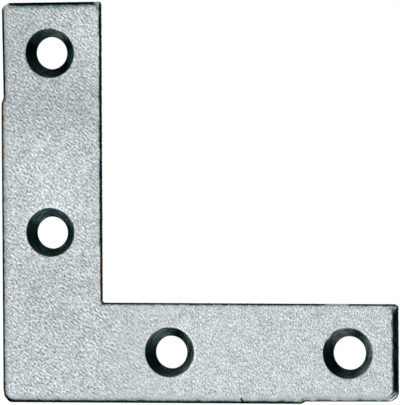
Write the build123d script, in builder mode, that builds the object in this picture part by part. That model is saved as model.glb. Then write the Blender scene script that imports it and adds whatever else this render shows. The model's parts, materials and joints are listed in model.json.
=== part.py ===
import os
from math import radians, tan

from build123d import *

# Flat corner brace: one L-shaped plate stamped from steel strip, with four countersunk screw holes.
# Millimetres. The brace lies on its plain side, with the countersunk side up (+Z). The arms run along
# +X and +Y from the heel, and the origin is under the middle of the square that the two arms span.

# Plate
arm_length = 60.0  # from the heel to each arm's end
arm_width = 15.0
thickness = 2.0

# Screw holes, two on the centreline of each arm
screw_hole_d = 5.0
countersink_d = 7.4
countersink_angle = 90.0
end_to_hole = 7.5  # from an arm's end to its outer hole
hole_spacing = 27.0  # along an arm

# Corners seen from above
heel_r = 1.15
inner_angle_r = 0.45
x_arm_outer_r = 1.35  # at the X arm's end, on the brace's outer edge
x_arm_inner_r = 0.50
y_arm_outer_r = 0.75
y_arm_inner_r = 0.45

# Near each end the outer edge stands back a little, where the cut that parts the brace from the
# strip doesn't quite meet the cut along the edge
cutback_length = 13.9
cutback_depth = 0.30
cutback_ramp = 1.2
cutback_r = 1.0

# Rolled edges of the upper side, small along the arms and wide across their ends
side_roll_r = 0.30
end_roll_width = 0.90
end_roll_drop = 0.45

# Nick in the rolled outer edge of the X arm, slanted towards the heel and running out on the face
nick_to_end = 23.6
nick_width = 0.60
nick_reach = 0.80
nick_depth = 0.55
nick_slant = 29.0

heel = Vector(-arm_length / 2, -arm_length / 2, 0)
top = Vector(0, 0, thickness)

seen_from_above = Plane(heel)
x_arm_side = Plane(heel, x_dir=(1, 0, 0), z_dir=(0, -1, 0))
y_arm_side = Plane(heel, x_dir=(0, 1, 0), z_dir=(1, 0, 0))


def outline_corners():
    """Corners of the outline from the heel, round the X arm first, each with its radius."""
    ramp_end = arm_length - cutback_length
    ramp_start = ramp_end - cutback_ramp
    return [
        ((0, 0), heel_r),
        ((ramp_start, 0), cutback_r),
        ((ramp_end, cutback_depth), cutback_r),
        ((arm_length, cutback_depth), x_arm_outer_r),
        ((arm_length, arm_width), x_arm_inner_r),
        ((arm_width, arm_width), inner_angle_r),
        ((arm_width, arm_length), y_arm_inner_r),
        ((cutback_depth, arm_length), y_arm_outer_r),
        ((cutback_depth, ramp_end), cutback_r),
        ((0, ramp_start), cutback_r),
    ]


def hole_centres():
    """Centres of the screw holes from the heel, the X arm's two first."""
    outer_hole = arm_length - end_to_hole
    along = [outer_hole, outer_hole - hole_spacing]
    across = arm_width / 2
    return [(distance, across) for distance in along] + [(across, distance) for distance in along]


def rolled_profile(side):
    """An arm seen from the side, from behind the heel to its end, where the top rolls down."""
    roll_start = (arm_length - end_roll_width, thickness)
    roll_end = (arm_length, thickness - end_roll_drop)
    behind = -thickness
    with BuildSketch(side) as profile:
        with BuildLine():
            TangentArc(roll_start, roll_end, tangent=(1, 0))
            Polyline(roll_end, (arm_length, 0), (behind, 0), (behind, thickness), roll_start)
        make_face()
    return profile.sketch


with BuildSketch(seen_from_above) as outline:
    with BuildLine():
        corners, radii = zip(*outline_corners())
        FilletPolyline(*corners, radius=radii, close=True)
    make_face()

# The nick is a V that climbs as it goes inwards, so it narrows to a point on the upper face
nick_climb = Vector(-tan(radians(nick_slant)), 1, nick_depth / nick_reach) * nick_reach
nick_mouth = heel + Vector(arm_length - nick_to_end, 0, thickness - nick_depth)
with BuildSketch(Plane(nick_mouth - nick_climb, x_dir=(1, 0, 0), z_dir=(0, -1, 0))) as nick:
    with BuildLine():
        Polyline((0, 0), (nick_width, 2 * nick_depth), (-nick_width, 2 * nick_depth), close=True)
    make_face()

with BuildPart() as brace:
    extrude(outline.sketch, amount=thickness)
    fillet(brace.faces().sort_by(Axis.Z)[-1].outer_wire().edges(), side_roll_r)
    for side in (x_arm_side, y_arm_side):
        extrude(rolled_profile(side), amount=arm_length, both=True, mode=Mode.INTERSECT)
    with Locations(Plane(heel + top)):
        with Locations(*hole_centres()):
            CounterSinkHole(screw_hole_d / 2, countersink_d / 2, counter_sink_angle=countersink_angle)
    extrude(nick.sketch, amount=3 * nick_climb.length, dir=nick_climb, mode=Mode.SUBTRACT)

brace.part.label = "brace"

os.makedirs("parts", exist_ok=True)
export_step(brace.part, "parts/brace.step")
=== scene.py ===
import json
import math

import bpy
import numpy as np
from mathutils import Matrix, Vector
from mathutils.geometry import delaunay_2d_cdt


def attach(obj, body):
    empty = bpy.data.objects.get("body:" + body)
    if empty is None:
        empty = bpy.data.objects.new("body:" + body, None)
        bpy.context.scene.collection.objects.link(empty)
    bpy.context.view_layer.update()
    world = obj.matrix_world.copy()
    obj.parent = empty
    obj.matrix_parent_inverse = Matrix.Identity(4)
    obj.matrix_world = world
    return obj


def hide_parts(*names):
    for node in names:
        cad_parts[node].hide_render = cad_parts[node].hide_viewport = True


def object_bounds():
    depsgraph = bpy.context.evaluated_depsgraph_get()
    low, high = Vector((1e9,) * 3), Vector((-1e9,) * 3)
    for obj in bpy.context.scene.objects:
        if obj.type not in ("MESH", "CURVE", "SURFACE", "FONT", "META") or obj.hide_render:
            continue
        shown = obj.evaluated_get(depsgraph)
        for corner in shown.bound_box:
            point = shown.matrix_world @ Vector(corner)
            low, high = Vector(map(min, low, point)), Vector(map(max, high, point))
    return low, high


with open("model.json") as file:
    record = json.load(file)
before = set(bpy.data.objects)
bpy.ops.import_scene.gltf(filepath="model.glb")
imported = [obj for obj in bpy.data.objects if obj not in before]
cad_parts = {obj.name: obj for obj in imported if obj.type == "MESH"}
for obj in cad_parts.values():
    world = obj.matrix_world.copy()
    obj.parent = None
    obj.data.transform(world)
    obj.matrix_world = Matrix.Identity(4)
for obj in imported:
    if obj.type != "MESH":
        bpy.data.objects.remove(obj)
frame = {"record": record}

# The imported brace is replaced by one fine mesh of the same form, which adds what its finish has: the
# ripple of the plated face, uneven rolled edges, sheared walls and the turning marks of the countersinks.
# The mesh is worked out in millimetres in the brace's own frame and written in metres.
MM = 0.001
cad_low, cad_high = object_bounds()
half_span = cad_high.x / MM
thickness = cad_high.z / MM

# Plan of the plate: the solid's, as unevenly as it was cut
arm_width = 15.0
x_arm_lack = (0.04, 0.14)  # of the X arm's width, at the angle and at its end
y_arm_excess = (0.03, 0.13)  # of the Y arm's, likewise
heel_cut = (0.90, 0.95)  # along the X arm and up the Y arm
heel_lean = (0.14, 2.10)  # above the cut, how far in and from where
heel_r = 0.90
heel_lean_r = 4.0
inner_angle_r = 0.40
x_arm_outer_r = 1.35
x_arm_inner_cut = (0.48, 0.34)  # along the arm's edge and along its end
x_arm_inner_r = 0.42
y_arm_outer_cut = 0.80
y_arm_outer_r = 0.50
y_arm_inner_r = 0.42
y_end_lack = 0.13  # of the Y arm's length, at its outer corner
x_cutback = (0.35, 0.42)  # where it starts, and at the X arm's end
y_cutback = (0.335, 0.165)
x_cutback_length = 13.97
y_cutback_length = 14.28
x_cutback_ramp = 0.55
y_cutback_ramp = 0.9
cutback_r = 0.6

# Rolled edges, and how far the face sags towards the outer ones
side_roll_r = 0.30
end_roll_width = 0.90
end_roll_drop = 0.45
sag_width = 1.20
sag_drop = 0.030
roll_unevenness = 0.05
band_unevenness = 0.035

# Screw holes
bores = [mount for mount in frame["record"]["mounts"] if mount["kind"] == "bore"]
bore_r = bores[0]["dims"]["r_mm"]
land_height = bores[0]["dims"]["length_mm"]
cone_r = bore_r + thickness - land_height

# How far each countersink came out from its place in the pattern, in the order of the bores: the X arm's
# end and heel, then the Y arm's
countersink_drift = ((0.15, 0.09), (0.067, 0.137), (0.055, -0.145), (-0.044, 0.033))
hole_centres = [np.array(bore["pos_m"][:2]) / MM + drift for bore, drift in zip(bores, countersink_drift)]

# Rims and turning marks of the countersinks
rim_roll = 0.07
turning_pitch = 0.17
turning_depth = 0.003
turning_starts = (0.08, 0.25)  # shares of the cone's depth between which the marks come up
turning_stops = 0.10  # share of it above the land in which they die away

# Nick in the outer edge of the X arm
nick_to_end = 23.07
nick_width = 0.60
nick_reach = 0.80
nick_depth = 0.55
nick_slant = math.tan(math.radians(38.0))

# Sheared walls: smooth under the rolled edge, torn and drawn in below
smooth_share = 0.45
torn_inset = 0.045
torn_depth = 0.016
wall_streaks = 0.45  # how strong the upright streaks are
wall_streaks_along = 2.0  # how much closer than in their field, along the wall
wall_streaks_down = 0.5  # and down it

# Places along X between which the finish of the heel and the Y arm gives way to the X arm's
heel_finish_to = -16.0
arm_finish_from = -2.0

# Ripple of the plated face
ripple_length = 0.50
arm_ripple_share = 0.60  # of the ripple's strength, on the X arm
ripple_skew = 0.10  # how much further it takes the tone down than up
ripple_height = 0.0042
ripple_crest = 2.6 * ripple_height  # beyond this it is cut off
edge_ripple = 0.25  # share of the ripple at the plate's edge
edge_ripple_fades = (0.1, 0.9)
rim_ripple = 0.4  # share of it at a countersink's rim
rim_ripple_fades = (0.0, 0.5)

# Fine grain of the material, one on the heel and the Y arm and one on the X arm
heel_grain_scale = 5400.0
arm_grain_scale = 6400.0
heel_grain_turned = -40.0
arm_grain_turned = -65.0
grain_stretch = 1.6
grain_detail = 2.0
grain_roughness = 0.55
grain_tone = 0.72  # share of the tone that it adds or takes away at most
grain_depth = 0.003
left_band = 0.50  # share of the grain that the band along the Y arm's outer edge lacks
left_band_fades = (0.50, 1.10)
lower_band = 0.60  # and along the X arm's
lower_band_fades = (0.70, 1.70)

# Drift of the finish between bluish and greenish patches, and the roughness that goes with it
drift_scale = 1600.0
drift_colours = ((0.35, (1.015, 0.997, 1.015, 1)), (0.65, (0.985, 1.003, 0.985, 1)))
roughness_range = (0.33, 0.43)

# Share of the shine at grazing angles that the darkest parts keep, and the tones over which it comes up to 1
dark_edge_tint = 0.2
tinted_tones = (60, 150)

# Spacing of the mesh
edge_step = 0.19
corner_step = 0.07
corner_points = 4  # at least, round each corner
short_run = 2.0  # up to this length, a straight run has the short step
short_step = 2 * corner_step
face_step = 0.195
nick_step = 0.05
nick_zone = 0.75  # to either side of the nick
under_step = 1.1
hole_steps = 112
cone_rings = 34
sharp_angle = math.radians(33)
roll_insets = (0.0, 0.03, 0.07, 0.13, 0.20, 0.28, 0.38)
free_insets = (0.50, 0.64, 0.80, 0.97)
rim_offsets = (0.36, 0.24, 0.15, 0.09, 0.05, 0.02)
wall_shares = (0.15, 0.30, 0.45, 0.60, 0.80, 1.0)
land_shares = (0.12, 0.4, 0.7, 1.0)
inset_tolerance = 0.01  # of the lines of points along the edge
closest_points = 0.09
edge_gap = 0.6  # steps of a grid between it and the edge or the last line
hole_gap = 0.5  # and a hole or its outermost ring
patch_gap = 0.7 * nick_step
same_point = 1e-7


def unit(v):
    """The direction of a vector, with length 1."""
    return v / np.linalg.norm(v)


def smooth(low, high, value):
    """0 below low, 1 above high and an even curve between."""
    t = np.clip((value - low) / (high - low), 0, 1)
    return t * t * (3 - 2 * t)


# Random surfaces, each worked out once over a square a little larger than the plate
field_cell = 0.05
field_cells = 1280
light_from = unit(np.array([-0.50, -0.87]))


def random_fields(wavelength, spread, stretch, seed, turned=45.0):
    """A random surface of about one wavelength, and its slope towards the light, both with spread 1.

    Its crests are drawn out by stretch, at right angles to the turned direction.
    """
    random = np.random.default_rng(seed)
    spectrum = np.fft.fft2(random.standard_normal((field_cells, field_cells)))
    steps = np.fft.fftfreq(field_cells, field_cell)
    fx, fy = np.meshgrid(steps, steps, indexing="ij")
    turn = math.radians(turned)
    rising = fx * math.cos(turn) + fy * math.sin(turn)
    falling = fx * math.sin(turn) - fy * math.cos(turn)
    pitch = np.hypot(rising, falling * stretch) * wavelength
    spectrum *= np.exp(-(((pitch - 1) / spread) ** 2))
    surface = np.fft.ifft2(spectrum).real
    slope = np.fft.ifft2(-1j * spectrum * (fx * light_from[0] + fy * light_from[1])).real
    return surface / surface.std(), slope / slope.std()


def sample(field, points):
    """Values of a random surface at points, in straight lines between its cells."""
    place = points / field_cell
    cell = np.floor(place).astype(int)
    part = place - cell
    i, j = (cell % field_cells).T
    after_i = (i + 1) % field_cells
    after_j = (j + 1) % field_cells
    u, v = part.T
    near = field[i, j] * (1 - u) + field[after_i, j] * u
    far = field[i, after_j] * (1 - u) + field[after_i, after_j] * u
    return near * (1 - v) + far * v


heel_ripples = random_fields(ripple_length, spread=0.34, stretch=2.2, seed=7, turned=50.0)
arm_ripples = random_fields(ripple_length, spread=0.34, stretch=1.6, seed=19, turned=22.0)
slow_waves = random_fields(wavelength=5.0, spread=0.8, stretch=1.0, seed=11)[0]
torn_grain = random_fields(wavelength=0.5, spread=0.6, stretch=1.0, seed=13)[0]
streaks = random_fields(wavelength=0.8, spread=0.7, stretch=1.0, seed=17)[0]


# Outline of the plate
def outline_corners():
    """Corners of the outline from the heel, round the X arm first, each with its radius."""
    low = -half_span
    end = half_span
    inner = low + arm_width
    x_ramp = end - x_cutback_length
    y_ramp = end - y_cutback_length
    return [
        (low + heel_cut[0], low, heel_r),
        (x_ramp - x_cutback_ramp, low, cutback_r),
        (x_ramp, low + x_cutback[0], cutback_r),
        (end, low + x_cutback[1], x_arm_outer_r),
        (end, inner - x_arm_lack[1] - x_arm_inner_cut[1], x_arm_inner_r),
        (end - x_arm_inner_cut[0], inner - x_arm_lack[1], x_arm_inner_r),
        (inner + y_arm_excess[0], inner - x_arm_lack[0], inner_angle_r),
        (inner + y_arm_excess[1], end, y_arm_inner_r),
        (low + y_cutback[1] + y_arm_outer_cut, end - y_end_lack, y_arm_outer_r),
        (low + y_cutback[1], end - y_end_lack - y_arm_outer_cut, y_arm_outer_r),
        (low + y_cutback[0], y_ramp, cutback_r),
        (low, y_ramp - y_cutback_ramp, cutback_r),
        (low, low + heel_lean[1], heel_lean_r),
        (low + heel_lean[0], low + heel_cut[1], heel_r),
    ]


class Arc:
    """One rounded corner: where it starts and stops, its centre and radius, and its turn, left above 0."""

    def __init__(self, before, corner, after):
        here = np.array(corner[:2])
        back = unit(np.array(before[:2]) - here)
        on = unit(np.array(after[:2]) - here)
        half = math.acos(float(back @ on)) / 2
        self.r = corner[2]
        self.start = here + back * self.r / math.tan(half)
        self.stop = here + on * self.r / math.tan(half)
        self.centre = here + unit(back + on) * self.r / math.sin(half)
        turns_left = on[0] * back[1] - on[1] * back[0] > 0
        self.turn = (math.pi - 2 * half) * (1 if turns_left else -1)
        self.middle = -unit(back + on)

    def places(self, step):
        """Points along the arc, and the direction into the plate at each."""
        n = max(corner_points, math.ceil(abs(self.turn) * self.r / step))
        angles = self.turn * np.arange(n) / n
        x, y = self.start - self.centre
        along = x * np.cos(angles) - y * np.sin(angles)
        across = x * np.sin(angles) + y * np.cos(angles)
        arms = np.column_stack([along, across])
        return self.centre + arms, -math.copysign(1, self.turn) * arms / self.r


corners = outline_corners()
arcs = [Arc(corners[i - 1], corners[i], corners[(i + 1) % len(corners)]) for i in range(len(corners))]
runs = [(arc.stop, arcs[(i + 1) % len(arcs)].start) for i, arc in enumerate(arcs)]

# The runs along the arms' ends, after the X arm's outer corner and the Y arm's inner one
x_end = runs[3]
y_end = runs[7]
nick_mouth = np.array([half_span - nick_to_end, -half_span])


def run_places(start, stop):
    """Points along a straight run of the outline, closer together at the nick."""
    along = unit(stop - start)
    length = float(np.linalg.norm(stop - start))
    n = max(1, round(length / (edge_step if length > short_run else short_step)))
    places = length * np.arange(n) / n
    to_nick = float((nick_mouth - start) @ along)
    if np.linalg.norm(start + along * to_nick - nick_mouth) < nick_step and 0 < to_nick < length:
        close = np.arange(to_nick - nick_zone, to_nick + nick_zone + nick_step / 2, nick_step)
        apart = np.abs(places - to_nick) > nick_zone + edge_step / 2
        places = np.sort(np.concatenate([places[apart], close]))
    return start + places[:, None] * along, np.tile([-along[1], along[0]], (len(places), 1))


def walk_outline():
    """Points round the plate, and the direction into the plate at each."""
    walked = []
    for arc, run in zip(arcs, runs):
        walked.append(arc.places(corner_step))
        walked.append(run_places(*run))
    points, inwards = zip(*walked)
    return np.concatenate(points), np.concatenate(inwards)


def nearest_edge(points):
    """Distance of points inside the plate from the outline, and the nearest point on it."""
    best = np.full(len(points), np.inf)
    feet = np.zeros_like(points)

    def offer(foot, allowed):
        distance = np.linalg.norm(points - foot, axis=1)
        nearer = allowed & (distance < best)
        best[nearer] = distance[nearer]
        feet[nearer] = foot[nearer]

    for start, stop in runs:
        along = unit(stop - start)
        t = np.clip((points - start) @ along, 0, np.linalg.norm(stop - start))
        offer(start + t[:, None] * along, np.full(len(points), True))
    for arc in arcs:
        out = points - arc.centre
        out /= np.maximum(np.linalg.norm(out, axis=1), 1e-9)[:, None]
        offer(arc.centre + arc.r * out, out @ arc.middle > math.cos(arc.turn / 2))
    return best, feet


# Form of the upper side
def roll_drop(inset, width, drop):
    """How far a rolled edge has dropped at a distance from the edge: an arc that leaves the face evenly."""
    r = (width * width + drop * drop) / (2 * drop)
    past = np.clip(width - inset, 0, width)
    return r - np.sqrt(np.maximum(r * r - past * past, 0))


def nick_floor(points):
    """Height of the nick's V, which climbs as it goes inwards and slants towards the heel."""
    inwards = points[:, 1] - nick_mouth[1]
    apex = nick_mouth[0] - nick_slant * inwards
    rise = nick_depth / nick_reach * inwards
    return thickness - nick_depth + rise + np.abs(points[:, 0] - apex) * 2 * nick_depth / nick_width


def end_distance(points):
    """Distance of points from the nearer of the arms' two ends."""
    distances = []
    for start, stop in (x_end, y_end):
        along = unit(stop - start)
        distances.append((points - start) @ np.array([-along[1], along[0]]))
    return np.minimum(*distances)


def outer_share(outward):
    """1 beside the two long outer edges and 0 beside the others."""
    return (np.clip(-outward, 0, 1) ** 2).sum(axis=1)


def face_height(points, inset, outward, feet):
    """Height of the upper side, with its rolled edges, sag and nick but without the ripple."""
    uneven = 1 + roll_unevenness * sample(slow_waves, feet)
    to_end = end_distance(points)
    side = roll_drop(inset, side_roll_r * uneven, side_roll_r * uneven)
    end = roll_drop(to_end, end_roll_width * uneven, end_roll_drop * uneven)
    sag = sag_drop * (1 - smooth(0, sag_width, inset)) * outer_share(outward)
    height = thickness - np.maximum(side + sag, end)
    return np.minimum(height, nick_floor(points))


def rippled(kind, points):
    """The ripple's surface, of kind 0, or its slope, of kind 1: weaker and less drawn out on the X arm."""
    on_arm = smooth(heel_finish_to, arm_finish_from, points[:, 0])
    heel = sample(heel_ripples[kind], points) * (1 - on_arm)
    return heel + arm_ripple_share * sample(arm_ripples[kind], points) * on_arm


def grain_share(inset, outward):
    """How much of the fine grain there is: less on the smooth bands along the two long outer edges."""
    left, lower = np.clip(-outward.T, 0, 1) ** 2
    smoother = left_band * left * (1 - smooth(*left_band_fades, inset))
    return 1 - smoother - lower_band * lower * (1 - smooth(*lower_band_fades, inset))


def ripple_share(inset, points):
    """How much of the ripple there is: all on the face, and less towards the edges and holes."""
    share = edge_ripple + (1 - edge_ripple) * smooth(*edge_ripple_fades, inset)
    for centre in hole_centres:
        gap = np.linalg.norm(points - centre, axis=1) - cone_r
        share *= rim_ripple + (1 - rim_ripple) * smooth(*rim_ripple_fades, gap)
    return share


# Tones. A tone is the grey painted on the surface from 0 to 255, before the grain of the material: the
# plating's own grey with painted light and shade in it, dark edges, walls and countersinks, and the lit and
# shaded slopes of the ripple.
plain_tone = 185.0  # of the face
# The walls are painted near black: painted shade, the dark reflections that they show
wall_shade_tone = 36.0
under_tone = 180.0
# Painted light and shade of the ripple: slopes towards the light are painted lighter, those away from it
# darker
ripple_shading = 14.0
patch_tone = 3.5  # faint patches all over the face
patch_waves = 1.6  # how much closer than the slow waves
patches_from = 9.0  # where in the slow waves they start
edge_waves = 3.0  # how much closer than the slow waves the painted shade of the edges varies
edge_variation = 0.03
unshaded_share = 0.97  # of the edges' painted shade that an unshaded spot lacks
gentle_from = 0.7  # of the shoulder's distance, where the gentle rise starts


class EdgeShade:
    """Painted shade from an edge inwards: the edge's tone up to dark_to, rising to shoulder at shoulder_at,
    the face's from face_at.
    """

    def __init__(self, edge, dark_to, shoulder, shoulder_at, face_at):
        self.edge = edge
        self.dark_to = dark_to
        self.shoulder = shoulder
        self.shoulder_at = shoulder_at
        self.face_at = face_at

    def lack(self, inset):
        """How much darker than the face the painted shade makes the tone."""
        steep = smooth(self.dark_to, self.shoulder_at, inset)
        gentle = smooth(self.shoulder_at * gentle_from, self.face_at, inset)
        return (self.shoulder - self.edge) * (1 - steep) + (plain_tone - self.shoulder) * (1 - gentle)


left_edge = EdgeShade(10, 0.20, 150, 0.42, 1.05)
lower_edge = EdgeShade(8, 0.24, 148, 0.52, 1.15)
lower_cutback = EdgeShade(34, 0.10, 152, 0.38, 1.20)
right_inner_edge = EdgeShade(62, 0.00, 180, 0.14, 0.45)
upper_inner_edge = EdgeShade(36, 0.08, 172, 0.36, 0.66)
right_end = EdgeShade(6, 0.39, 176, 0.83, 1.01)
upper_end = EdgeShade(5, 0.26, 124, 0.58, 1.15)


def edge_shade_lack(inset, outward, feet):
    """Painted shade beside the outline: what the tone lacks there, by the way that the nearest edge faces."""
    facing_x, facing_y = outward.T
    right = np.where(feet[:, 0] > 0, right_end.lack(inset), right_inner_edge.lack(inset))
    upper = np.where(feet[:, 1] > 0, upper_end.lack(inset), upper_inner_edge.lack(inset))
    cut_back = feet[:, 0] > half_span - x_cutback_length - x_cutback_ramp
    lower = np.where(cut_back, lower_cutback.lack(inset), lower_edge.lack(inset))
    lack_x = np.where(facing_x > 0, right, left_edge.lack(inset))
    lack_y = np.where(facing_y > 0, upper, lower)
    return lack_x * facing_x ** 2 + lack_y * facing_y ** 2


class Stroke:
    """A soft mark along a straight line, seen from above."""

    def __init__(self, start, stop, half_width, strength=1.0):
        self.start = np.array(start)
        self.along = np.array(stop) - self.start
        self.half_width = half_width
        self.strength = strength

    def at(self, points):
        """How strong it is at points."""
        t = np.clip((points - self.start) @ self.along / (self.along @ self.along), 0, 1)
        gap = np.linalg.norm(points - self.start - t[:, None] * self.along, axis=1)
        return self.strength * np.exp(-((gap / self.half_width) ** 2))


# Places where the rolled edge's painted dark line of shade is missing, most of them at corners and on the
# cutbacks' ramps
unshaded_edge_spots = (
    Stroke((29.10, -29.35), (29.80, -28.65), 0.46),
    Stroke((-29.70, 29.25), (-29.05, 29.80), 0.42),
    Stroke((-15.50, 29.90), (-15.10, 29.70), 0.30, 0.80),
    Stroke((-29.60, 15.90), (-29.78, 15.10), 0.20, 0.55),
    Stroke((29.82, -15.50), (29.58, -15.85), 0.20, 0.75),
    Stroke((14.75, -29.50), (15.35, -29.42), 0.20, 0.85),
    Stroke((-15.02, -15.10), (-14.95, -15.02), 0.22),
    Stroke((19.41, -15.10), (22.58, -15.10), 0.30, 0.75),
)

# Light and dark stripes on the X arm's outer corner, painted highlights on the mitres of the rolled edges,
# the nick's painted shadow, and darker and lighter stretches of the edges
marks = (
    Stroke((28.70, -29.66), (29.62, -29.27), 0.09, -110),
    Stroke((29.62, -29.27), (30.02, -28.70), 0.09, -110),
    Stroke((29.13, -29.30), (29.88, -28.70), 0.09, 60),
    Stroke((29.06, -29.14), (29.74, -28.50), 0.10, -125),
    Stroke((28.90, -29.00), (29.62, -28.32), 0.09, 40),
    Stroke((28.80, -28.93), (29.42, -28.20), 0.09, -75),
    Stroke((28.55, -28.75), (29.20, -28.05), 0.12, 25),
    Stroke((28.60, -29.07), (28.70, -29.07), 0.12, -40),
    Stroke((-15.10, 29.80), (-16.05, 29.05), 0.11, 44),
    Stroke((-15.30, 29.50), (-15.12, 28.90), 0.24, -70),
    Stroke((29.92, -15.60), (29.46, -16.40), 0.08, 42),
    Stroke((29.00, -15.72), (29.40, -15.75), 0.20, -34),
    Stroke((-29.20, 29.45), (-28.90, 29.65), 0.22, 40),
    Stroke((-28.45, -28.30), (-28.35, -27.90), 0.40, 16),
    Stroke((6.40, -29.27), (6.85, -29.85), 0.12, -190),
    Stroke((-14.86, 29.50), (-14.90, 26.30), 0.10, -62),
    Stroke((-15.06, -6.80), (-15.06, -14.20), 0.12, 45),
    Stroke((-28.90, -29.76), (-25.20, -29.82), 0.14, -110),
    Stroke((-29.42, 16.50), (-29.58, 28.50), 0.10, -80),
    Stroke((-29.92, 15.00), (-29.92, 13.60), 0.10, 40),
    Stroke((-15.03, 25.60), (-15.03, 22.00), 0.10, 40),
    Stroke((-29.66, -28.90), (-28.95, -29.56), 0.14, -110),
    Stroke((-28.95, -29.56), (-28.25, -29.70), 0.13, -110),
)

# Broad lighter and darker parts of the face
broad_tones = (
    Stroke((-3.5, -22.0), (-1.5, -22.0), 4.5, 5),
    Stroke((1.0, -22.0), (29.0, -22.0), 9.0, 5),
    Stroke((-22.0, -5.0), (-22.0, 6.0), 5.0, 11),
    Stroke((-26.0, 14.5), (-18.0, 14.5), 4.0, -11),
    Stroke((-28.0, 22.0), (-27.0, 25.0), 3.0, -8),
    Stroke((-17.5, 24.0), (-17.0, 27.0), 3.0, 8),
    Stroke((-22.5, 15.5), (-22.5, 28.5), 7.5, -3),
    Stroke((-22.5, -15.0), (-22.5, -8.0), 5.0, -5),
)

# Brownish stain on the rim: the Y arm's outer edge and corner, the heel, the X arm's outer edge from the
# ramp of its cutback to its corner, and its inner corner and end
stains = (
    Stroke((-30.0, 15.2), (-30.0, 13.2), 0.34, 0.50),
    Stroke((-30.0, 15.2), (-30.0, 10.4), 0.34, 0.25),
    Stroke((-30.0, 15.2), (-30.0, 5.6), 0.34, 0.90),
    Stroke((-29.7, 29.2), (-29.5, 29.4), 0.30, 1.20),
    Stroke((-29.95, -27.4), (-29.75, -28.9), 0.20, 0.45),
    Stroke((-29.4, -29.9), (-26.4, -30.0), 0.24, 0.20),
    Stroke((15.2, -29.9), (16.1, -29.8), 0.22, 0.70),
    Stroke((17.0, -29.6), (20.8, -29.6), 0.30, 0.65),
    Stroke((28.55, -29.75), (29.85, -28.95), 0.16, 1.10),
    Stroke((29.3, -15.1), (29.6, -15.2), 0.22, 0.80),
    Stroke((30.0, -23.2), (30.0, -25.6), 0.12, 0.30),
)

# The same stain further down: on the Y arm's inner edge by the angle, and on the lower left of each bore
low_stains = (
    Stroke((-14.9, -7.8), (-14.9, -13.8), 0.15, 1.60),
    Stroke((21.23, -24.65), (21.93, -24.95), 0.12, 0.55),
    Stroke((21.93, -24.95), (22.53, -25.00), 0.12, 0.45),
    Stroke((-5.92, -24.45), (-5.42, -24.82), 0.13, 1.00),
    Stroke((-5.42, -24.82), (-4.57, -25.00), 0.12, 0.80),
    Stroke((-23.47, 20.05), (-22.57, 19.88), 0.12, 0.40),
    Stroke((-24.42, -6.08), (-23.77, -6.68), 0.12, 0.45),
)
stain_tone = 50.0  # at least, where the stain is full
stain_waves = 4.0  # how much closer than the slow waves it varies
stain_variation = 0.3


def stain_share(places):
    """How stained the surface is at places on it. The rim's stain fades down the walls."""
    flat = places[:, :2]
    share = sum(stroke.at(flat) for stroke in stains) * (places[:, 2] / thickness) ** 2
    share += sum(stroke.at(flat) for stroke in low_stains)
    return np.clip(share * (1 + stain_variation * sample(slow_waves, flat * stain_waves)), 0, 1)


def face_tone(points, inset, outward, feet):
    """Tone of the upper side, with the painted shade of its edges, painted highlights and shade beside the
    countersinks and on the mitres, and the ripple's slopes painted lighter towards the light and darker away
    from it.
    """
    waves = sample(slow_waves, feet * edge_waves)
    lack = edge_shade_lack(np.maximum(inset + band_unevenness * waves, 0), outward, feet)
    lack *= 1 + edge_variation * waves
    for unshaded_spot in unshaded_edge_spots:
        lack *= 1 - unshaded_share * unshaded_spot.at(points)
    base = plain_tone - lack + patch_tone * sample(slow_waves, points * patch_waves + patches_from)
    base += sum(mark.at(points) for mark in (*marks, *broad_tones)) + rim_highlights_and_shade(points)
    slope = rippled(1, points)
    slope -= ripple_skew * (slope ** 2 - 1)
    return base + ripple_shading * ripple_share(inset, points) * grain_share(inset, outward) * slope


def upper_side(points, inset, outward, feet):
    """Vertices of the upper side with the ripple, whose crests reach the solid's face."""
    share = ripple_share(inset, points)
    height = face_height(points, inset, outward, feet)
    ripple = np.clip(ripple_height * rippled(0, points), -ripple_crest, ripple_crest)
    height += share * ripple - ripple_crest
    return np.column_stack([points, height])


# Countersinks
class Lobe:
    """A part round a hole painted lighter or darker, as painted light and shade, or a dent: its angle and
    half width in degrees, its strength, and the share of it that is lost by the cone's foot."""

    def __init__(self, angle, half_width, strength, fade=0.0):
        self.angle = angle
        self.half_width = half_width
        self.strength = strength
        self.fade = fade

    def at(self, angles, depth):
        """How strong it is at angles round the hole and a share of the cone's depth."""
        off = (np.degrees(angles) - self.angle + 180) % 360 - 180
        return self.strength * np.exp(-((off / self.half_width) ** 2)) * (1 - self.fade * depth)


class HoleFormAndShade:
    """How one hole came out and is shaded: its cone's darkest tone and lobes of painted shade and sheen, the
    face's painted lobes round it, its burr in the bore, the bore's drift from the cone, and its rim's lack of
    radius and dent inwards."""

    def __init__(self, darkest, lobes, face_lobes, burr, drift, rim_lack, dent=None):
        self.darkest = darkest
        self.lobes = lobes
        self.face_lobes = face_lobes
        self.burr = burr
        self.drift = np.array(drift)
        self.rim_lack = rim_lack
        self.dent = dent


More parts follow.
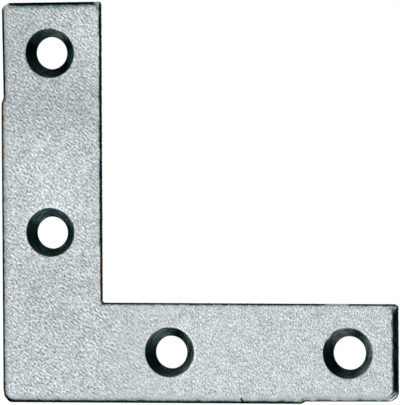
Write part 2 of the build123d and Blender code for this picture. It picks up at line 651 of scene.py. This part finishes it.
# In the order of the bores
hole_forms_and_shades = (
    HoleFormAndShade(
        5,
        (
            Lobe(75, 70, 68), Lobe(135, 28, 40), Lobe(345, 50, 120, 0.65), Lobe(280, 30, 36),
            Lobe(22, 14, 14), Lobe(65, 14, -36), Lobe(102, 15, 18), Lobe(160, 12, -12),
            Lobe(255, 11, 16), Lobe(285, 10, -14), Lobe(315, 13, 16), Lobe(345, 12, -26),
        ),
        (Lobe(270, 40, -22),), burr=0.0, drift=(-0.005, -0.03), rim_lack=-0.05, dent=Lobe(141, 9, 0.17),
    ),
    HoleFormAndShade(
        6,
        (
            Lobe(80, 70, 58), Lobe(132, 30, 40), Lobe(330, 46, 100, 0.5), Lobe(272, 30, 30), Lobe(28, 20, 24),
            Lobe(67, 14, -40), Lobe(247, 15, 15), Lobe(345, 14, -20),
        ),
        (Lobe(315, 60, 24), Lobe(30, 50, 12)), burr=0.05, drift=(0.005, -0.055), rim_lack=0.01,
    ),
    HoleFormAndShade(
        4,
        (
            Lobe(70, 52, 74), Lobe(135, 25, 14), Lobe(5, 38, 50, 0.7), Lobe(260, 45, 38), Lobe(28, 15, -34),
            Lobe(60, 10, 18), Lobe(158, 14, -10), Lobe(340, 19, 22),
        ),
        (Lobe(0, 35, 10), Lobe(230, 60, -14)), burr=0.09, drift=(-0.005, -0.04), rim_lack=0.04,
    ),
    HoleFormAndShade(
        8,
        (
            Lobe(85, 65, 56), Lobe(135, 30, 26), Lobe(20, 40, 56, 0.7), Lobe(300, 50, 42), Lobe(235, 28, 14),
            Lobe(15, 10, -12), Lobe(60, 10, 12), Lobe(90, 12, -18), Lobe(152, 11, -12), Lobe(248, 18, 14),
            Lobe(318, 15, 15),
        ),
        (Lobe(95, 65, 24),), burr=0.10, drift=(0.02, -0.105), rim_lack=0.07,
    ),
)
cone_lines = 0.16  # how strong the turning marks are in the tone
cone_streaks = 0.22  # and the streaks round the cone
streaks_around = 0.35  # how much closer than in their field
streaks_down = 4.5  # length of their field down the cone
streaks_apart = 11.0  # and from one hole to the next
rim_reach = 0.40  # of the face's lobes round a hole, painted highlights and shade
rim_lit = (-0.02, 0.14)  # offsets between which the cone's tone gives way to the face's
rim_unevenness_fade = 4  # power with which the face's unevenness dies away down the cone
land_shade = 0.6  # share of the tone at the cone's foot that the land has: painted shade in the bore

# Scratch in the X arm's end countersink, and the dark streak below it
cone_marks = (
    Stroke((25.67, -22.97), (26.30, -22.49), 0.09, 40),
    Stroke((26.13, -22.89), (25.82, -24.04), 0.14, -34),
)


def rim_highlights_and_shade(points):
    """Painted highlights and shade that the countersinks add to the tone of the face round them."""
    added = 0.0
    for centre, form_and_shade in zip(hole_centres, hole_forms_and_shades):
        out = points - centre
        gap = np.linalg.norm(out, axis=1) - cone_r
        lobes = sum(lobe.at(np.arctan2(out[:, 1], out[:, 0]), 0) for lobe in form_and_shade.face_lobes)
        added = added + lobes * np.exp(-((gap / rim_reach) ** 2))
    return added


ring_angles = 2 * math.pi * np.arange(hole_steps) / hole_steps


def circle(centre, r):
    """Points round a hole, seen from above."""
    return centre + np.column_stack([r * np.cos(ring_angles), r * np.sin(ring_angles)])


def ring(centre, r, height):
    """One ring of a hole's vertices."""
    return np.column_stack([circle(centre, r), np.broadcast_to(height, hole_steps)])


def rim_drop(offset):
    """How far the rounded rim lies below the face, or inside it below the cone, at a distance from it."""
    return 0.5 * (np.sqrt(offset ** 2 + rim_roll ** 2) - offset) * (1 - smooth(0, rim_offsets[0], offset))


def turning_phase(down):
    """Where in the turning marks a level below the rim lies, along the cone's slope of 45 degrees."""
    return 2 * math.pi * down * math.sqrt(2) / turning_pitch


def cone_height(down, depth):
    """Height of the countersink at a level below its rim, with its turning marks."""
    turned = turning_depth * np.sin(turning_phase(down))
    turned *= smooth(*turning_starts, depth) * smooth(0, turning_stops, 1 - depth)
    return thickness - down - rim_drop(down) + turned


def cone_tone(hole, depth):
    """Tone round a countersink at a share of its depth: near-black painted shade, with lobes of painted light
    and sheen, streaks and turning marks.
    """
    form_and_shade = hole_forms_and_shades[hole]
    tone = form_and_shade.darkest + sum(lobe.at(ring_angles, depth) for lobe in form_and_shade.lobes)
    r = cone_r - (cone_r - bore_r) * depth
    around = ring_angles * r * streaks_around + streaks_apart * hole
    streak = sample(streaks, np.column_stack([around, np.full(hole_steps, streaks_down * depth)]))
    line = math.sin(turning_phase(cone_r - r) + hole)
    tone = tone * (1 + cone_streaks * streak + cone_lines * line)
    places = circle(hole_centres[hole], r)
    return np.maximum(tone + sum(mark.at(places) for mark in cone_marks), 0)


class Skin:
    """The mesh as it is built up: vertices, their tones and shares of grain, and faces."""

    def __init__(self):
        self.vertices = []
        self.tones = []
        self.grains = []
        self.faces = []
        self.count = 0

    def add(self, vertices, tones, grains=1.0):
        """Add vertices, and return their indices."""
        indices = np.arange(self.count, self.count + len(vertices))
        self.vertices.append(vertices)
        self.tones.append(np.broadcast_to(tones, len(vertices)))
        self.grains.append(np.broadcast_to(grains, len(vertices)))
        self.count += len(vertices)
        return indices

    def bands(self, rings):
        """Faces between closed rings, each on the left of the one before as it is walked."""
        for first, second in zip(rings, rings[1:]):
            quads = np.stack([first, np.roll(first, -1), np.roll(second, -1), second], axis=1)
            self.faces.extend(quads.tolist())

    def fill(self, edge, holes, free, faces_up):
        """Triangles inside the edge and outside the holes, through all the points."""
        loops = [edge, *holes]
        indices = np.concatenate([*loops, free])
        flat = np.concatenate(self.vertices)[indices, :2]
        starts = np.cumsum([0] + [len(loop) for loop in loops])
        constraints = []
        for first, after in zip(starts, starts[1:]):
            local = list(range(first, after))
            constraints.extend(zip(local, local[1:] + local[:1]))
        points = [Vector(point) for point in flat.tolist()]
        found, origins = delaunay_2d_cdt(points, constraints, [], 0, same_point, True)[2:4]
        triangles = np.array([origin[0] for origin in origins])[np.array(found)]

        # A triangle beyond the edge meets its points in the order against that of the walk
        rising = (triangles < np.roll(triangles, -1, axis=1)).sum(axis=1)
        unwanted = (triangles < starts[1]).all(axis=1) & (rising == 1)
        for first, after in zip(starts[1:], starts[2:]):
            unwanted |= ((triangles >= first) & (triangles < after)).all(axis=1)
        triangles = indices[triangles[~unwanted]]
        self.faces.extend((triangles if faces_up else triangles[:, ::-1]).tolist())

    def mesh(self, name):
        """The finished mesh, with its tone, grain and stain as attributes."""
        places = np.concatenate(self.vertices)
        made = bpy.data.meshes.new(name)
        made.from_pydata((places * MM).tolist(), [], self.faces)
        stain = stain_share(places)
        shares = {
            "tone": np.maximum(np.concatenate(self.tones), stain_tone * stain) / 255,
            "grain": np.concatenate(self.grains),
            "stain": stain,
        }
        for kind, values in shares.items():
            layer = made.attributes.new(kind, "FLOAT", "POINT")
            layer.data.foreach_set("value", values.astype(np.float32))
        made.polygons.foreach_set("use_smooth", [True] * len(made.polygons))
        made.set_sharp_from_angle(angle=sharp_angle)
        return made


def hex_grid(step):
    """Points in even triangles over the square that the plate spans."""
    row_step = step * math.sqrt(3) / 2
    rows = np.arange(math.ceil(2 * half_span / row_step))
    columns = np.arange(math.ceil(2 * half_span / step))
    j, i = np.meshgrid(rows, columns, indexing="ij")
    return np.column_stack([((i + 0.5 * (j % 2)) * step).ravel(), (j * row_step).ravel()]) - half_span


def within_corners(points):
    """Whether points lie inside the outline's straight sides, by the sides to the right of each."""
    inside = np.full(len(points), False)
    for here, after in zip(corners, corners[1:] + corners[:1]):
        rise = after[1] - here[1]
        if rise:
            beside = (points[:, 1] < here[1]) != (points[:, 1] < after[1])
            side_x = here[0] + (points[:, 1] - here[1]) * (after[0] - here[0]) / rise
            inside ^= beside & (points[:, 0] < side_x)
    return inside


def inside_plate(points, inset, bore_gap):
    """The points at least an inset inside the outline and a gap outside every hole's bore."""
    kept = points[within_corners(points)]
    kept = kept[nearest_edge(kept)[0] > inset]
    for centre in hole_centres:
        kept = kept[np.linalg.norm(kept - centre, axis=1) > bore_r + bore_gap]
    return kept


def thinned(points, gap):
    """The points without those that lie within a gap of one before them."""
    cells = {}
    kept = []
    for i, (x, y) in enumerate(points.tolist()):
        column = int(x // gap)
        row = int(y // gap)
        around = [cells.get((column + a, row + b), ()) for a in (-1, 0, 1) for b in (-1, 0, 1)]
        if all(math.hypot(x - u, y - v) >= gap for group in around for u, v in group):
            cells.setdefault((column, row), []).append((x, y))
            kept.append(i)
    return points[kept]


def nick_patch(first_inset):
    """Close points where the nick runs out on the face."""
    inwards = np.arange(first_inset, nick_reach + 2 * nick_step, nick_step)
    across = np.arange(-nick_width / 2, nick_width / 2 + nick_step, nick_step)
    y, x = np.meshgrid(inwards, across, indexing="ij")
    return nick_mouth + np.column_stack([(x - nick_slant * y).ravel(), y.ravel()])


def away_from(points, others, gap):
    """The points that are further than a gap from all the others."""
    distance = np.linalg.norm(points[:, None, :] - others[None, :, :], axis=2).min(axis=1)
    return points[distance > gap]


def upper_points(points):
    """Vertices of the upper side at points on it, their tones and their shares of grain."""
    inset, feet = nearest_edge(points)
    outward = (feet - points) / inset[:, None]
    vertices = upper_side(points, inset, outward, feet)
    return vertices, face_tone(points, inset, outward, feet), grain_share(inset, outward)


def rolled_rings(skin, outline, inwards):
    """The rolled edge, ring by ring from the outline inwards."""
    rings = []
    for inset in roll_insets:
        points = outline + inwards * inset
        insets = np.full(len(points), inset)
        tones = face_tone(points, insets, -inwards, outline)
        vertices = upper_side(points, insets, -inwards, outline)
        rings.append(skin.add(vertices, tones, grain_share(insets, -inwards)))
    skin.bands(rings)
    return rings


def hole_rings(skin, hole):
    """A countersink's rim, cone and land, ring by ring from the face to the underside."""
    centre = hole_centres[hole]
    form_and_shade = hole_forms_and_shades[hole]
    dent = form_and_shade.dent.at(ring_angles, 0) if form_and_shade.dent else 0.0
    rim_r = cone_r - form_and_shade.rim_lack - dent
    opening_r = bore_r - form_and_shade.burr
    rings = []
    for offset in rim_offsets:
        spread = rim_r + offset + dent * (offset / rim_offsets[0]) ** 2
        vertices, tones, _ = upper_points(circle(centre, spread))
        face_offset = vertices[:, 2] - thickness
        vertices[:, 2] -= rim_drop(offset)
        lit = smooth(*rim_lit, offset)
        rings.append(skin.add(vertices, tones * lit + cone_tone(hole, 0) * (1 - lit)))

    # The face's unevenness at the last of these rings goes on down the cone and dies away
    for depth in np.linspace(0, 1, cone_rings + 1):
        level = cone_height((thickness - land_height) * depth, depth)
        level = level + face_offset * (1 - depth) ** rim_unevenness_fade
        vertices = ring(centre + form_and_shade.drift * depth, rim_r - (rim_r - opening_r) * depth, level)
        rings.append(skin.add(vertices, cone_tone(hole, depth)))
    for share in land_shares:
        land = ring(centre + form_and_shade.drift, opening_r, land_height * (1 - share))
        rings.append(skin.add(land, land_shade * cone_tone(hole, 1.0)))
    skin.bands(rings)
    return rings


def wall_rings(skin, top_ring, outline, inwards):
    """The sheared wall, ring by ring from the rolled edge to the underside, painted near black as shade with
    upright streaks.
    """
    top = np.concatenate(skin.vertices)[top_ring, 2]
    station = np.concatenate([[0], np.cumsum(np.linalg.norm(np.diff(outline, axis=0), axis=1))])
    rings = [top_ring]
    for share in wall_shares:
        level = top * (1 - share)
        torn = smooth(smooth_share, 1.0, share)
        depth = torn * (torn_inset + torn_depth * sample(torn_grain, np.column_stack([station, level])))
        points = outline + inwards * np.maximum(depth, 0)[:, None]
        streaked = np.column_stack([station * wall_streaks_along, level * wall_streaks_down])
        tones = wall_shade_tone * (1 + wall_streaks * sample(streaks, streaked))
        rings.append(skin.add(np.column_stack([points, level]), tones))
    skin.bands(rings[::-1])
    return rings


def build_plate():
    """The brace's mesh: its rolled edge, walls, holes, upper side and underside."""
    skin = Skin()
    outline, inwards = walk_outline()
    rolled = rolled_rings(skin, outline, inwards)
    walls = wall_rings(skin, rolled[0], outline, inwards)
    holes = [hole_rings(skin, hole) for hole in range(len(hole_centres))]

    rim_gap = cone_r - bore_r + rim_offsets[0] + hole_gap * face_step
    close = [
        inside_plate(outline + inwards * inset, inset - inset_tolerance, rim_gap) for inset in free_insets
    ]
    grid = inside_plate(hex_grid(face_step), free_insets[-1] + edge_gap * face_step, rim_gap)
    patch = nick_patch(roll_insets[-1] + nick_step)
    free = away_from(thinned(np.concatenate([*close, grid]), closest_points), patch, patch_gap)
    rims = [rings[0] for rings in holes]
    skin.fill(rolled[-1], rims, skin.add(*upper_points(np.concatenate([free, patch]))), True)

    grid = inside_plate(hex_grid(under_step), edge_gap * under_step, hole_gap * under_step)
    under = skin.add(np.column_stack([grid, np.zeros(len(grid))]), under_tone)
    lands = [rings[-1] for rings in holes]
    skin.fill(walls[-1], lands, under, False)
    return skin.mesh("brace_plate")


# Materials
def connect(tree, source, socket):
    """Lead an output into a socket, or set the socket where the source is a plain value."""
    if isinstance(source, bpy.types.NodeSocket):
        tree.links.new(source, socket)
    else:
        socket.default_value = source


def node(tree, kind, **settings):
    """A node with its settings, and its inputs where a setting names one."""
    made = tree.nodes.new(kind)
    for name, value in settings.items():
        if name in made.inputs:
            connect(tree, value, made.inputs[name])
        else:
            setattr(made, name, value)
    return made


def attribute(tree, name):
    """One of the values that the mesh holds at its vertices."""
    return node(tree, "ShaderNodeAttribute", attribute_name=name).outputs["Fac"]


def calculated(tree, operation, *values):
    """The result of one step of arithmetic."""
    step = node(tree, "ShaderNodeMath", operation=operation)
    for socket, value in zip(step.inputs, values):
        connect(tree, value, socket)
    return step.outputs["Value"]


def ranged(tree, value, before, after, **settings):
    """A value moved from the range before to the range after."""
    moved = node(tree, "ShaderNodeMapRange", Value=value, **settings)
    for name, limit in zip(("From Min", "From Max", "To Min", "To Max"), (*before, *after)):
        moved.inputs[name].default_value = limit
    return moved.outputs["Result"]


# Numbers of a mix node's sockets for each kind of value: its share, its two inputs and its output
mix_sockets = {"FLOAT": (0, 2, 3, 0), "RGBA": (0, 6, 7, 2)}


def mixed(tree, kind, share, first, second, **settings):
    """The first value with a share of the second mixed in, or combined as a blend type says."""
    mix = node(tree, "ShaderNodeMix", data_type=kind, **settings)
    *inputs, result = mix_sockets[kind]
    for socket, value in zip(inputs, (share, first, second)):
        connect(tree, value, mix.inputs[socket])
    return mix.outputs[result]


def colour_ramp(tree, value, colours):
    """The colour that goes with a value. Each colour comes with its place from 0 to 1, in order."""
    ramp = node(tree, "ShaderNodeValToRGB", Fac=value)
    stops = ramp.color_ramp.elements
    for _ in colours[2:]:
        stops.new(0.5)
    for stop, (place, colour) in zip(stops, colours):
        stop.position = place
        stop.color = colour
    return ramp.outputs["Color"]


def srgb(red, green, blue):
    """A colour that is written as it looks on a screen, from 0 to 255, as Blender wants it."""
    def linear(value):
        value /= 255
        return value / 12.92 if value <= 0.04045 else ((value + 0.055) / 1.055) ** 2.4
    return (linear(red), linear(green), linear(blue), 1.0)


# Colour by tone: teal in the dark parts, which are painted shade, a cool grey on the face
zinc_tones = (
    (0, srgb(0, 4, 5)),
    (38, srgb(25, 40, 40)),
    (75, srgb(60, 79, 80)),
    (112, srgb(102, 115, 118)),
    (153, srgb(144, 154, 157)),
    (199, srgb(193, 199, 201)),
    (226, srgb(219, 223, 225)),
    (255, srgb(244, 247, 248)),
)
stained_tones = (
    (0, srgb(3, 2, 0)),
    (38, srgb(56, 42, 17)),
    (75, srgb(95, 80, 41)),
    (112, srgb(124, 113, 80)),
    (153, srgb(159, 151, 129)),
    (199, srgb(201, 197, 185)),
    (255, srgb(248, 247, 244)),
)


def tone_ramp(tree, tone, colours):
    """The colour that goes with a tone."""
    return colour_ramp(tree, tone, [(level / 255, colour) for level, colour in colours])


def grain_pattern(tree, place, turned, scale):
    """Fine grain, drawn out a little along one direction."""
    drawn = node(tree, "ShaderNodeMapping", vector_type="TEXTURE", Vector=place)
    drawn.inputs["Rotation"].default_value = (0, 0, math.radians(turned))
    drawn.inputs["Scale"].default_value = (grain_stretch, 1, 1)
    noise = node(tree, "ShaderNodeTexNoise", Vector=drawn.outputs["Vector"], Scale=scale)
    noise.inputs["Detail"].default_value = grain_detail
    noise.inputs["Roughness"].default_value = grain_roughness
    return noise.outputs["Fac"]


def zinc_material():
    """Zinc plate on steel: uncoated metal in the colours of the mesh's tones, which hold painted light and
    shade, with a fine grain.
    """
    material = bpy.data.materials.new("zinc_plated_steel")
    material.use_nodes = True
    tree = material.node_tree
    shader = tree.nodes["Principled BSDF"]
    shader.inputs["Metallic"].default_value = 1.0
    tone = attribute(tree, "tone")
    place = node(tree, "ShaderNodeTexCoord").outputs["Object"]

    # The dark parts, painted shade, stay dark at grazing angles, and the bright ones don't
    tint = ranged(tree, tone, [level / 255 for level in tinted_tones], (dark_edge_tint, 1))
    connect(tree, tint, shader.inputs["Specular Tint"])

    # Fine grain, finer and turned further on the X arm
    split = node(tree, "ShaderNodeSeparateXYZ", Vector=place)
    on_arm = ranged(tree, split.outputs["X"], (heel_finish_to * MM, arm_finish_from * MM), (0, 1))
    heel_grain = grain_pattern(tree, place, heel_grain_turned, heel_grain_scale)
    arm_grain = grain_pattern(tree, place, arm_grain_turned, arm_grain_scale)
    grain = mixed(tree, "FLOAT", on_arm, heel_grain, arm_grain)
    centred = ranged(tree, grain, (0, 1), (-grain_tone, grain_tone), clamp=False)
    gain = calculated(tree, "MULTIPLY_ADD", centred, attribute(tree, "grain"), 1.0)
    grained = calculated(tree, "MULTIPLY", tone, gain)

    zinc = tone_ramp(tree, grained, zinc_tones)
    stained = tone_ramp(tree, grained, stained_tones)
    colour = mixed(tree, "RGBA", attribute(tree, "stain"), zinc, stained)

    # Faint drift of its colour and roughness
    drift = node(tree, "ShaderNodeTexNoise", Vector=place, Scale=drift_scale, Detail=1.0).outputs["Fac"]
    patches = colour_ramp(tree, drift, drift_colours)
    colour = mixed(tree, "RGBA", 1.0, colour, patches, blend_type="MULTIPLY")
    connect(tree, colour, shader.inputs["Base Color"])
    connect(tree, ranged(tree, drift, (0, 1), roughness_range), shader.inputs["Roughness"])

    bump = node(tree, "ShaderNodeBump", Strength=1.0, Distance=grain_depth * MM, Height=grain)
    connect(tree, bump.outputs["Normal"], shader.inputs["Normal"])
    return material


# Studio, in metres and watts
floor_size = 3.0
floor_gap = 0.01 * MM  # below the brace
floor_grey = 0.12  # share of the light that it gives back
floor_glow = 0.95  # how white it looks
world_seen = 1.0  # how white the world looks
world_light = 0.6  # and how much of that lights the brace
key_from = (-0.35, -0.60, 0.72)
key_size = 0.40
key_power = 3.5
fill_from = (0.55, 0.45, 0.70)
fill_size = 0.60
fill_power = 0.8
lamp_distance = 1.0


def seen_directly(tree, seen, otherwise):
    """One strength for camera, glossy and transmission rays, and another for the light that falls."""
    path = node(tree, "ShaderNodeLightPath").outputs
    direct = calculated(tree, "MAXIMUM", path["Is Camera Ray"], path["Is Glossy Ray"])
    direct = calculated(tree, "MAXIMUM", direct, path["Is Transmission Ray"])
    return ranged(tree, direct, (0, 1), (otherwise, seen))


def floor_material():
    """White to the camera and in reflections, with the object's faint shadow."""
    material = bpy.data.materials.new("studio_floor")
    material.use_nodes = True
    tree = material.node_tree
    shader = tree.nodes["Principled BSDF"]
    shader.inputs["Base Color"].default_value = (floor_grey, floor_grey, floor_grey, 1)
    shader.inputs["Roughness"].default_value = 1.0
    shader.inputs["Specular IOR Level"].default_value = 0.0
    shader.inputs["Emission Color"].default_value = (1, 1, 1, 1)
    connect(tree, seen_directly(tree, floor_glow, 0.0), shader.inputs["Emission Strength"])
    return material


def area_lamp(name, direction, size, power):
    """A square soft light, turned to the brace."""
    light = bpy.data.lights.new(name, "AREA")
    light.size = size
    light.energy = power
    lamp = bpy.data.objects.new(name, light)
    bpy.context.scene.collection.objects.link(lamp)
    away = Vector(direction).normalized()
    lamp.location = away * lamp_distance
    lamp.rotation_euler = away.to_track_quat("Z", "Y").to_euler()


def build_studio():
    """A white floor, an even world and two soft lamps."""
    bpy.ops.mesh.primitive_plane_add(size=floor_size, location=(0, 0, -floor_gap))
    floor = bpy.context.object
    floor.name = "studio_floor"
    floor.data.materials.append(floor_material())

    scene = bpy.context.scene
    scene.view_settings.view_transform = "Standard"
    scene.world = bpy.data.worlds.new("studio")
    scene.world.use_nodes = True
    tree = scene.world.node_tree
    background = tree.nodes["Background"]
    background.inputs["Color"].default_value = (1, 1, 1, 1)
    connect(tree, seen_directly(tree, world_seen, world_light), background.inputs["Strength"])

    area_lamp("key", key_from, key_size, key_power)
    area_lamp("fill", fill_from, fill_size, fill_power)


# Camera, as the photograph is taken: nearly from straight above, a little to the right
picture_width = 400
picture_height = 405
sensor_size = 36.0
camera_distance = 1.1117  # in metres
camera_right = math.radians(11.625)
camera_up = math.radians(1.903)
camera_roll = math.radians(-0.362)
pixels_per_mm = 6.7027
brace_in_picture = (199.015, 202.259)  # in pixels, where the middle of the brace's box is


def build_camera():
    """The camera, which shows the brace where the photograph does."""
    data = bpy.data.cameras.new("camera")
    camera = bpy.data.objects.new("camera", data)
    bpy.context.scene.collection.objects.link(camera)
    bpy.context.scene.camera = camera
    data.sensor_width = sensor_size
    data.lens = pixels_per_mm * camera_distance / MM / picture_height * sensor_size

    middle = Vector((0, 0, thickness * MM / 2))
    x = math.sin(camera_right)
    y = math.sin(camera_up)
    back = Vector((x, y, math.sqrt(1 - x * x - y * y)))
    right = Vector((0, 1, 0)).cross(back).normalized()
    up = back.cross(right)
    c = math.cos(camera_roll)
    s = math.sin(camera_roll)
    right, up = right * c + up * s, up * c - right * s
    off_right = (picture_width / 2 - brace_in_picture[0]) / pixels_per_mm * MM
    off_up = (brace_in_picture[1] - picture_height / 2) / pixels_per_mm * MM
    place = middle + back * camera_distance + right * off_right + up * off_up
    turned = Matrix((right, up, back)).transposed()
    camera.matrix_world = Matrix.Translation(place) @ turned.to_4x4()


build_camera()
build_studio()
plate = bpy.data.objects.new("brace_plate", build_plate())
bpy.context.scene.collection.objects.link(plate)
plate.data.materials.append(zinc_material())
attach(plate, "root")
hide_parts("brace")
